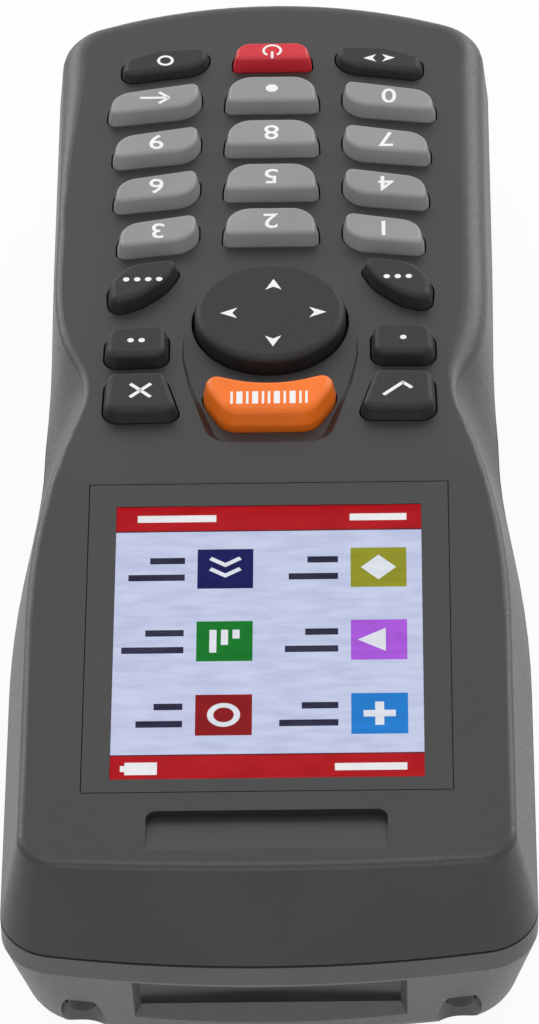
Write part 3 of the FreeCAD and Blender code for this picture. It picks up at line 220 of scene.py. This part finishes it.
def metal(name, colour, roughness):
    """Plated or brushed metal with a finely uneven tone."""
    material, nodes, links, shader = new_material(name)
    specks = object_noise(nodes, links, scale=3500, detail=2)
    shade = mottled(nodes, links, specks, scaled(colour, 0.85), scaled(colour, 1.1))
    links.new(shade, shader.inputs["Base Color"])
    links.new(spread(nodes, links, specks, roughness - 0.08, roughness + 0.1), shader.inputs["Roughness"])
    shader.inputs["Metallic"].default_value = 1.0
    return material


def clear_window():
    """The clear window over the screen: hardly seen but for its reflections."""
    material, nodes, links, shader = new_material("window_clear")
    smear = object_noise(nodes, links, scale=60, detail=3)
    links.new(mottled(nodes, links, smear, paint(8, 8, 8), paint(18, 18, 18)), shader.inputs["Base Color"])
    links.new(spread(nodes, links, smear, 0.08, 0.16), shader.inputs["Roughness"])
    shader.inputs["Alpha"].default_value = 0.04
    shader.inputs["Specular IOR Level"].default_value = 0.2
    return material


def dark_glass():
    """The tinted scan window: almost black, with a dull gleam."""
    material, nodes, links, shader = new_material("scan_window_dark")
    smear = object_noise(nodes, links, scale=120, detail=3)
    links.new(mottled(nodes, links, smear, paint(36, 36, 37), paint(42, 42, 43)), shader.inputs["Base Color"])
    links.new(spread(nodes, links, smear, 0.16, 0.26), shader.inputs["Roughness"])
    shader.inputs["Specular IOR Level"].default_value = 0.12
    shader.inputs["Alpha"].default_value = 0.99
    return material


def lit(name, dark, light):
    """A lit area of the screen, with the panel's own row pattern and a faint mottling."""
    material, nodes, links, shader = new_material(name)
    place = nodes.new("ShaderNodeTexCoord")
    flat = nodes.new("ShaderNodeMapping")
    flat.inputs["Scale"].default_value = (0.25, 1.0, 1.0)
    links.new(place.outputs["Object"], flat.inputs["Vector"])
    cloud = nodes.new("ShaderNodeTexNoise")
    cloud.inputs["Scale"].default_value = PANEL_SCALE
    cloud.inputs["Detail"].default_value = 3
    links.new(flat.outputs["Vector"], cloud.inputs["Vector"])
    shade = mottled(nodes, links, cloud.outputs["Fac"], dark, light)
    rows = nodes.new("ShaderNodeTexWave")
    rows.bands_direction = "Y"
    rows.inputs["Scale"].default_value = PANEL_SCALE
    rows.inputs["Distortion"].default_value = 0.0
    links.new(place.outputs["Object"], rows.inputs["Vector"])
    grid = nodes.new("ShaderNodeMix")
    grid.data_type = "RGBA"
    grid.blend_type = "MULTIPLY"
    grid.inputs["Factor"].default_value = PANEL_ROW_SHARE
    links.new(shade, grid.inputs["A"])
    links.new(rows.outputs["Color"], grid.inputs["B"])
    links.new(grid.outputs["Result"], shader.inputs["Emission Color"])
    shader.inputs["Base Color"].default_value = (0.01, 0.01, 0.01, 1)
    shader.inputs["Specular IOR Level"].default_value = 0.0
    shader.inputs["Roughness"].default_value = 0.6
    shader.inputs["Emission Strength"].default_value = 1.0
    return material


def circuit_board():
    """Green solder mask with faint tracks."""
    material, nodes, links, shader = new_material("board_green")
    place = nodes.new("ShaderNodeTexCoord")
    cells = nodes.new("ShaderNodeTexBrick")
    cells.inputs["Scale"].default_value = 160
    cells.inputs["Color1"].default_value = paint(22, 92, 52)
    cells.inputs["Color2"].default_value = paint(26, 102, 58)
    cells.inputs["Mortar"].default_value = paint(60, 120, 62)
    links.new(place.outputs["Object"], cells.inputs["Vector"])
    links.new(cells.outputs["Color"], shader.inputs["Base Color"])
    dull = object_noise(nodes, links, scale=900, detail=3)
    links.new(spread(nodes, links, dull, 0.3, 0.45), shader.inputs["Roughness"])
    return material


MATERIALS = {
    "housing_grey": plastic("housing_grey", paint(40, 40, 41), roughness=0.42, grain=0.22),
    # The lower shell's grey is lighter than the housing's, partly as its own colour and partly as painted
    # light: it is raised to stand for the light that the white floor throws up onto the shell.
    "rear_grey_and_painted_floor_light": plastic("rear_grey_and_painted_floor_light", paint(80, 80, 81), roughness=0.45, grain=0.35),
    "key_grey": plastic("key_grey", paint(145, 146, 148), roughness=0.55, grain=0.15),
    "key_black": plastic("key_black", paint(27, 27, 28), roughness=0.6, grain=0.15, specular=0.35),
    "key_orange": plastic("key_orange", paint(255, 122, 26), roughness=0.45, grain=0.12, specular=0.4),
    "key_red": plastic("key_red", paint(214, 38, 52), roughness=0.45, grain=0.12, specular=0.4),
    "bezel_grey": plastic("bezel_grey", paint(40, 40, 41), roughness=0.45, grain=0.15),
    "window_clear": clear_window(),
    "screen": plastic("screen", paint(26, 26, 30), roughness=0.3, grain=0.05),
    "scan_window_dark": dark_glass(),
    "rubber_dark": plastic("rubber_dark", paint(40, 40, 40), roughness=0.7),
    "board_green": circuit_board(),
    "black_plastic": plastic("black_plastic", paint(32, 32, 32), roughness=0.5),
    "white_plastic": plastic("white_plastic", paint(230, 230, 226), roughness=0.45),
    "steel": metal("steel", paint(196, 196, 198), roughness=0.35),
    "screw_steel": metal("screw_steel", paint(62, 62, 64), roughness=0.45),
    "contact_metal": metal("contact_metal", paint(222, 190, 118), roughness=0.3),
    "flex_film": plastic("flex_film", paint(176, 112, 40), roughness=0.35, specular=0.6),
    "battery_wrap": plastic("battery_wrap", paint(52, 78, 128), roughness=0.3, specular=0.6),
    "foam_grey": plastic("foam_grey", paint(90, 90, 90), roughness=0.85, grain=1.0),
}
PRINT_WHITE = plastic("print_white", paint(250, 250, 250), roughness=0.5, grain=0.05, tone=0.02)
LOWER_SHELL = ("rear_cover", "battery_cover")


def dress_nodes():
    """Gives every CAD node the detailed material of its own slot, and the lower shell a lighter grey that is
    partly its own colour and partly painted floor light.
    """
    for name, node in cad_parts.items():
        for place in node.material_slots:
            slot = place.material.name.split(".")[0]
            place.material = MATERIALS["rear_grey_and_painted_floor_light" if name in LOWER_SHELL else slot]


# Pieces made here

def place_mesh(name, corners, faces, body, material):
    """Shows a shape as a piece of its own that moves with the body."""
    mesh = bpy.data.meshes.new(name)
    mesh.from_pydata(corners, [], faces)
    mesh.validate()
    piece = bpy.data.objects.new(name, mesh)
    bpy.context.scene.collection.objects.link(piece)
    mesh.materials.append(material)
    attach(piece, body)


def thick_outline(points, z0, z1):
    """Corners and faces of a flat prism on a closed outline of (x, y) points."""
    count = len(points)
    corners = [(x, y, z0) for x, y in points] + [(x, y, z1) for x, y in points]
    faces = [tuple(reversed(range(count))), tuple(range(count, 2 * count))]
    for index in range(count):
        after = (index + 1) % count
        faces.append((index, after, count + after, count + index))
    return corners, faces


def gathered(shapes):
    """Several shapes, each with its corners and faces, as one."""
    corners = []
    faces = []
    for more_corners, more_faces in shapes:
        offset = len(corners)
        corners += more_corners
        faces += [tuple(index + offset for index in face) for face in more_faces]
    return corners, faces


def rectangle(x, y, width, height):
    return [(x - width / 2, y - height / 2), (x + width / 2, y - height / 2),
            (x + width / 2, y + height / 2), (x - width / 2, y + height / 2)]


def disc(x, y, radius, sides=32):
    turns = [2 * math.pi * index / sides for index in range(sides)]
    return [(x + radius * math.cos(turn), y + radius * math.sin(turn)) for turn in turns]


def turned(points, degrees):
    turn = math.radians(degrees)
    cosine = math.cos(turn)
    sine = math.sin(turn)
    return [(x * cosine - y * sine, x * sine + y * cosine) for x, y in points]


def moved(points, x, y):
    return [(px + x, py + y) for px, py in points]


def stroke(start, end, width):
    """A straight bar from start to end."""
    along = Vector(end) - Vector(start)
    length = along.length
    angle = math.degrees(math.atan2(along.y, along.x))
    middle = (Vector(start) + Vector(end)) / 2
    return moved(turned(rectangle(0, 0, length, width), angle), middle.x, middle.y)


def ring_outline(radius, width, start, end, steps=28):
    """A ring, open between its end and its start in degrees, as one outline."""
    outer = []
    inner = []
    for index in range(steps + 1):
        turn = math.radians(start + (end - start) * index / steps)
        outer.append(((radius + width / 2) * math.cos(turn), (radius + width / 2) * math.sin(turn)))
        inner.append(((radius - width / 2) * math.cos(turn), (radius - width / 2) * math.sin(turn)))
    return outer + inner[::-1]


# Legends on the keys. They are drawn upright, then turned to be read from the tail.

def reading(x, s, height):
    """From a legend's own frame, x right and y up as it is read, to its place on the keypad."""
    upside = Matrix.Rotation(math.pi, 4, "Z")
    plane = Matrix.Translation(KEYPAD_BEND) @ Matrix.Rotation(KEYPAD_TILT, 4, "X")
    return plane @ Matrix.Translation((x, s, height)) @ upside


def key_middle(node):
    """Where the middle of a key's top lies on the keypad plane."""
    low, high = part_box(node)
    x = (low.x + high.x) / 2
    s = ((low.y + high.y) / 2 - KEYPAD_BEND.y) / math.cos(KEYPAD_TILT)
    return x, s


def legend(node, name, outlines, height, shift=(0, 0)):
    """A sign printed on a key, its outlines given about the middle of the key's top."""
    x, s = key_middle(node)
    shapes = [thick_outline(points, -PRINT_SINK, PRINT_THICK) for points in outlines]
    corners, faces = gathered(shapes)
    placing = reading(x - shift[0], s - shift[1], height)
    corners = [tuple(placing @ Vector(corner)) for corner in corners]
    place_mesh(name, corners, faces, node, PRINT_WHITE)


def digit(node, text):
    """A digit printed on its key, in the plain font that is always at hand."""
    curve = bpy.data.curves.new("digit_curve_" + text, "FONT")
    curve.body = text
    curve.size = DIGIT_HEIGHT / DIGIT_SHARE_OF_FONT
    curve.align_x = "CENTER"
    curve.align_y = "CENTER"
    curve.extrude = (PRINT_THICK + PRINT_SINK) / 2
    curve.offset = DIGIT_BOLDER
    holder = bpy.data.objects.new("digit_holder", curve)
    mesh = bpy.data.meshes.new_from_object(holder)
    mesh.name = "digit_" + text
    x, s = key_middle(node)
    mesh.transform(reading(x, s, KEY_TOP + (PRINT_THICK - PRINT_SINK) / 2))
    bpy.data.objects.remove(holder)
    piece = bpy.data.objects.new("digit_" + text, mesh)
    bpy.context.scene.collection.objects.link(piece)
    mesh.materials.clear()
    mesh.materials.append(PRINT_WHITE)
    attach(piece, node)


def arrowhead(size):
    """A notched arrowhead that points up."""
    return [(0, size * 0.55), (-size * 0.5, -size * 0.5), (0, -size * 0.2), (size * 0.5, -size * 0.5)]


def delete_sign():
    """An arrow that points left."""
    line = 0.4 * MM
    tip = (-1.75 * MM, 0)
    barb_x = -0.5 * MM
    barb_y = 1.1 * MM
    shaft = stroke((-1.6 * MM, 0), (1.8 * MM, 0), line)
    return [shaft, stroke(tip, (barb_x, barb_y), line), stroke(tip, (barb_x, -barb_y), line)]


def power_sign():
    """A ring that is open at the top, with a bar in the opening."""
    ring = ring_outline(1.05 * MM, THIN_LINE, 125, 415)
    return [ring, stroke((0, 0.2 * MM), (0, 1.55 * MM), THIN_LINE)]


def switch_sign():
    """Two arrowheads that point away from each other."""
    size = 1.5 * MM
    off_middle = 1.1 * MM
    right = moved(turned(arrowhead(size), -90), off_middle, 0)
    left = moved(turned(arrowhead(size), 90), -off_middle, 0)
    return [right, left]


def function_sign():
    return [ring_outline(0.85 * MM, 0.35 * MM, 0, FULL_RING)]


def row_of_dots(count):
    pitch = 1.3 * MM
    radius = 0.38 * MM
    return [disc((index - (count - 1) / 2) * pitch, 0, radius, sides=20) for index in range(count)]


def enter_sign():
    """A tick."""
    foot_y = -1.0 * MM
    short = stroke((-1.6 * MM, 0.1 * MM), (-0.5 * MM, foot_y), SIGN_LINE)
    long = stroke((-0.66 * MM, foot_y), (1.7 * MM, 1.3 * MM), SIGN_LINE)
    return [short, long]


def escape_sign():
    """A cross."""
    reach = 1.2 * MM
    rising = stroke((-reach, -reach), (reach, reach), SIGN_LINE)
    falling = stroke((-reach, reach), (reach, -reach), SIGN_LINE)
    return [rising, falling]


def scan_sign():
    """Plain bars of two widths in a row."""
    left = -(sum(SCAN_BARS) + SCAN_BAR_GAP * (len(SCAN_BARS) - 1)) / 2
    bars = []
    for width in SCAN_BARS:
        bars.append(rectangle(left + width / 2, 0, width, SCAN_BAR_HEIGHT))
        left += width + SCAN_BAR_GAP
    return bars


def make_key_legends():
    for number in range(10):
        digit("key_" + str(number), str(number))
    legend("key_dot", "dot_mark", [disc(0, 0, DOT_RADIUS)], KEY_TOP)
    legend("key_delete", "delete_mark", delete_sign(), KEY_TOP)
    legend("key_power", "power_mark", power_sign(), KEY_TOP)
    legend("key_switch", "switch_mark", switch_sign(), LOW_KEY_TOP)
    legend("key_function", "function_mark", function_sign(), LOW_KEY_TOP)
    for count in range(1, 5):
        legend("key_f" + str(count), "function_dots_" + str(count), row_of_dots(count), KEY_TOP)
    legend("key_enter", "enter_mark", enter_sign(), KEY_TOP)
    legend("key_escape", "escape_mark", escape_sign(), KEY_TOP)
    legend("key_scan", "scan_mark", scan_sign(), SCAN_TOP, (0, SCAN_BAR_SHIFT))


def make_pad_arrows():
    """Four arrowheads round the pad's middle, each pointing away from it."""
    for index in range(4):
        outline = turned(moved(arrowhead(ARROW_SIZE), 0, ARROW_CIRCLE), 90 * index)
        corners, faces = thick_outline(outline, -PRINT_SINK, PRINT_THICK)
        placing = reading(ARROW_SHIFT_X, DPAD_S + ARROW_SHIFT_S, DPAD_TOP)
        corners = [tuple(placing @ Vector(corner)) for corner in corners]
        place_mesh("pad_arrow_" + str(index), corners, faces, "dpad_disc", PRINT_WHITE)


# The picture on the screen: a generic menu of tiles with plain signs and label bars

def on_screen(points, layer):
    """Corners and faces of a shape drawn on the screen, x right and y up as it is read."""
    z = PICTURE_Z + layer * LAYER
    flipped = [(-x, SCREEN_CENTRE.y - y) for x, y in points]
    return thick_outline(flipped, z, z + LAYER)


def picture_piece(name, outlines, layer, material):
    corners, faces = gathered([on_screen(points, layer) for points in outlines])
    place_mesh(name, corners, faces, "housing", material)


def bar_marks(edge):
    """A plain mark and a level sign on the upper bar, and a mark at either end of the lower one."""
    top = rectangle(TOP_MARK_X, edge, TOP_MARK_LONG, MARK_HIGH)
    left = rectangle(LEFT_MARK_X, -edge, LEFT_MARK_LONG, MARK_HIGH)
    right = rectangle(RIGHT_MARK_X, -edge, RIGHT_MARK_LONG, MARK_HIGH)
    level = rectangle(LEVEL_X, edge, LEVEL_LONG, LEVEL_HIGH)
    tip_x = LEVEL_X + (LEVEL_LONG + LEVEL_TIP_LONG) / 2
    level_tip = rectangle(tip_x, edge, LEVEL_TIP_LONG, LEVEL_TIP_HIGH)
    return [top, left, right, level, level_tip]


def screen_bars():
    """A red bar at either end of the picture, with its dark line and its marks."""
    red = lit("screen_red", paint(172, 18, 26), paint(188, 24, 32))
    white = lit("screen_white", paint(238, 238, 240), paint(248, 248, 250))
    dark = lit("screen_line", paint(52, 26, 40), paint(64, 32, 48))
    edge = PICTURE_HALF_Y - BAR_HIGH / 2
    bars = [rectangle(0, y, 2 * PICTURE_HALF_X, BAR_HIGH) for y in (edge, -edge)]
    picture_piece("screen_end_bars", bars, TILE_LAYER, red)
    inner = PICTURE_HALF_Y - BAR_HIGH - BAR_LINE / 2
    lines = [rectangle(0, y, 2 * PICTURE_HALF_X, BAR_LINE) for y in (inner, -inner)]
    picture_piece("screen_bar_lines", lines, TILE_LAYER, dark)
    picture_piece("screen_bar_marks", bar_marks(edge), SIGN_LAYER, white)


def plus_sign():
    length = 3.6 * MM
    line = 1.0 * MM
    return [rectangle(0, 0, length, line), rectangle(0, 0, line, length)]


def ring_sign():
    return [ring_outline(1.5 * MM, 0.7 * MM, 0, FULL_RING)]


def rising_bars():
    pitch = 1.3 * MM
    wide = 0.8 * MM
    foot = -1.8 * MM
    bars = []
    for index, height in enumerate((1.4 * MM, 2.4 * MM, 3.6 * MM)):
        bars.append(rectangle((index - 1) * pitch, foot + height / 2, wide, height))
    return bars


def diamond():
    return [disc(0, 0, 2.0 * MM, sides=4)]


def triangle():
    return [disc(0.3 * MM, 0, 2.1 * MM, sides=3)]


def two_chevrons():
    reach = 1.7 * MM
    drop = 1.2 * MM
    lap = 0.15 * MM
    line = 0.55 * MM
    shapes = []
    for y in (-0.5 * MM, 1.2 * MM):
        shapes.append(stroke((-reach, y - drop), (lap, y), line))
        shapes.append(stroke((reach, y - drop), (-lap, y), line))
    return shapes


def screen_tiles():
    """Six coloured tiles, each with a plain sign and two label bars beside it."""
    tiles = (
        ("blue", paint(34, 128, 212), plus_sign(), 6.6 * MM),
        ("dark_red", paint(142, 22, 26), ring_sign(), 5.2 * MM),
        ("purple", paint(176, 92, 226), triangle(), 6.0 * MM),
        ("green", paint(16, 122, 40), rising_bars(), 7.0 * MM),
        ("olive", paint(150, 152, 40), diamond(), 5.6 * MM),
        ("navy", paint(22, 24, 92), two_chevrons(), 6.4 * MM),
    )
    signs = []
    labels = []
    for index, (name, colour, sign, length) in enumerate(tiles):
        x = TILE_COLUMNS[index % 2]
        y = TILE_ROW_PITCH * (1 - index // 2)
        tile = lit("screen_" + name, scaled(colour, 0.92), scaled(colour, 1.08))
        picture_piece("tile_" + name, [rectangle(x, y, TILE, TILE)], TILE_LAYER, tile)
        signs += [moved(points, x, y) for points in sign]
        for step, wide in ((1, length), (-1, SECOND_LABEL_SHARE * length)):
            labels.append(rectangle(x + LABEL_START + wide / 2, y + step * LABEL_APART, wide, LABEL_HIGH))
    pale = lit("screen_sign", paint(226, 230, 240), paint(236, 240, 248))
    ink = lit("screen_ink", paint(38, 38, 62), paint(52, 52, 78))
    picture_piece("tile_signs", signs, SIGN_LAYER, pale)
    picture_piece("tile_labels", labels, TILE_LAYER, ink)


def make_printed_border():
    """The lens's grey print, which reaches over the window from the bezel to the picture's edge."""
    low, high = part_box("display_window")
    low = low - Vector((WINDOW_GAP, WINDOW_GAP, 0))
    high = high + Vector((WINDOW_GAP, WINDOW_GAP, 0))
    side = high.x - PICTURE_HALF_X
    tail = high.y - BORDER_TAIL - WINDOW_GAP
    strips = [[(low.x, tail), (high.x, tail), (high.x, high.y), (low.x, high.y)]]
    for start, end in ((low.x, low.x + side), (high.x - side, high.x)):
        strips.append([(start, low.y), (end, low.y), (end, tail), (start, tail)])
    shapes = [thick_outline(points, BORDER_Z, BORDER_Z + BORDER_THICK) for points in strips]
    corners, faces = gathered(shapes)
    place_mesh("printed_border", corners, faces, "housing", MATERIALS["bezel_grey"])


def make_screen_picture():
    back = lit("screen_back", paint(194, 202, 234), paint(209, 216, 243))
    whole = rectangle(0, 0, 2 * PICTURE_HALF_X, 2 * PICTURE_HALF_Y)
    picture_piece("screen_back", [whole], BACK_LAYER, back)
    screen_bars()
    screen_tiles()


# Camera, light and floor

def make_camera():
    """The photo's camera, placed by where it sees the screen's centre."""
    pitch = math.radians(CAMERA_PITCH)
    yaw = math.radians(CAMERA_YAW)
    roll = math.radians(CAMERA_ROLL)
    turn = Matrix(((math.cos(yaw), -math.sin(yaw), 0), (math.sin(yaw), math.cos(yaw), 0), (0, 0, 1)))
    tip = Matrix(((1, 0, 0), (0, -math.sin(pitch), -math.cos(pitch)), (0, math.cos(pitch), -math.sin(pitch))))
    lean = Matrix(((math.cos(roll), math.sin(roll), 0), (-math.sin(roll), math.cos(roll), 0), (0, 0, 1)))
    view = lean @ tip @ turn
    place = SCREEN_CENTRE - view.transposed() @ SCREEN_IN_VIEW
    right, down, ahead = view[0], view[1], view[2]
    matrix = Matrix((
        (right.x, -down.x, -ahead.x, place.x),
        (right.y, -down.y, -ahead.y, place.y),
        (right.z, -down.z, -ahead.z, place.z),
        (0, 0, 0, 1),
    ))
    lens = bpy.data.cameras.new("camera")
    lens.sensor_width = SENSOR
    lens.lens = FOCAL_LENGTH
    lens.clip_start = CLIP_START
    camera = bpy.data.objects.new("camera", lens)
    bpy.context.scene.collection.objects.link(camera)
    camera.matrix_world = matrix
    bpy.context.scene.camera = camera


def straight_rays(nodes, links, rays):
    """1 for rays from the camera, from a reflection or through glass, and 0 for all others."""
    seen = rays.outputs["Is Camera Ray"]
    for kind in ("Is Glossy Ray", "Is Transmission Ray"):
        either = nodes.new("ShaderNodeMath")
        either.operation = "MAXIMUM"
        links.new(seen, either.inputs[0])
        links.new(rays.outputs[kind], either.inputs[1])
        seen = either.outputs["Value"]
    return seen


def make_floor():
    """A floor that looks white: it mostly glows for the camera, and the rest of it takes shadows."""
    material, nodes, links, shader = new_material("floor_pale")
    shader.inputs["Base Color"].default_value = FLOOR_PAINT
    shader.inputs["Roughness"].default_value = FLOOR_ROUGHNESS
    rays = nodes.new("ShaderNodeLightPath")
    glow = nodes.new("ShaderNodeEmission")
    mix = nodes.new("ShaderNodeMixShader")
    share = nodes.new("ShaderNodeMath")
    share.operation = "MULTIPLY"
    share.inputs[1].default_value = FLOOR_GLOW
    links.new(straight_rays(nodes, links, rays), share.inputs[0])
    links.new(share.outputs["Value"], mix.inputs["Fac"])
    links.new(shader.outputs["BSDF"], mix.inputs[1])
    links.new(glow.outputs["Emission"], mix.inputs[2])
    links.new(mix.outputs["Shader"], nodes["Material Output"].inputs["Surface"])
    mesh = bpy.data.meshes.new("floor")
    half = FLOOR_HALF
    corners = [(-half, -half, FLOOR_Z), (half, -half, FLOOR_Z), (half, half, FLOOR_Z), (-half, half, FLOOR_Z)]
    mesh.from_pydata(corners, [], [(0, 1, 2, 3)])
    mesh.materials.append(material)
    floor = bpy.data.objects.new("floor", mesh)
    bpy.context.scene.collection.objects.link(floor)


def make_sky():
    """A sky that looks white, but lights the terminal only faintly."""
    world = bpy.data.worlds.new("sky")
    bpy.context.scene.world = world
    world.use_nodes = True
    nodes = world.node_tree.nodes
    links = world.node_tree.links
    background = nodes["Background"]
    rays = nodes.new("ShaderNodeLightPath")
    strength = nodes.new("ShaderNodeMapRange")
    strength.inputs["To Min"].default_value = SKY_LIGHT
    strength.inputs["To Max"].default_value = 1.0
    links.new(straight_rays(nodes, links, rays), strength.inputs["Value"])
    background.inputs["Color"].default_value = (1, 1, 1, 1)
    links.new(strength.outputs["Result"], background.inputs["Strength"])


def make_lamp(name, azimuth, elevation, size, power):
    """A soft square lamp that faces the terminal; azimuth 0 stands at the head's end."""
    lamp = bpy.data.lights.new(name, "AREA")
    lamp.shape = "SQUARE"
    lamp.size = size
    lamp.energy = power
    turn = math.radians(azimuth)
    rise = math.radians(elevation)
    place = Vector((math.sin(turn) * math.cos(rise), -math.cos(turn) * math.cos(rise), math.sin(rise)))
    holder = bpy.data.objects.new(name, lamp)
    bpy.context.scene.collection.objects.link(holder)
    holder.location = place * LAMP_DISTANCE
    holder.rotation_euler = place.to_track_quat("Z", "Y").to_euler()


def make_lights():
    make_lamp("top_lamp", azimuth=0, elevation=84, size=0.8, power=3.8)
    make_lamp("left_lamp", azimuth=-143, elevation=18, size=0.7, power=4.2)
    make_lamp("right_lamp", azimuth=143, elevation=18, size=0.7, power=4.2)
    make_lamp("head_lamp", azimuth=0, elevation=12, size=0.8, power=2.4)


dress_nodes()
make_key_legends()
make_pad_arrows()
make_screen_picture()
make_printed_border()
make_camera()
make_floor()
make_sky()
make_lights()

bpy.context.scene.view_settings.view_transform = "Standard"
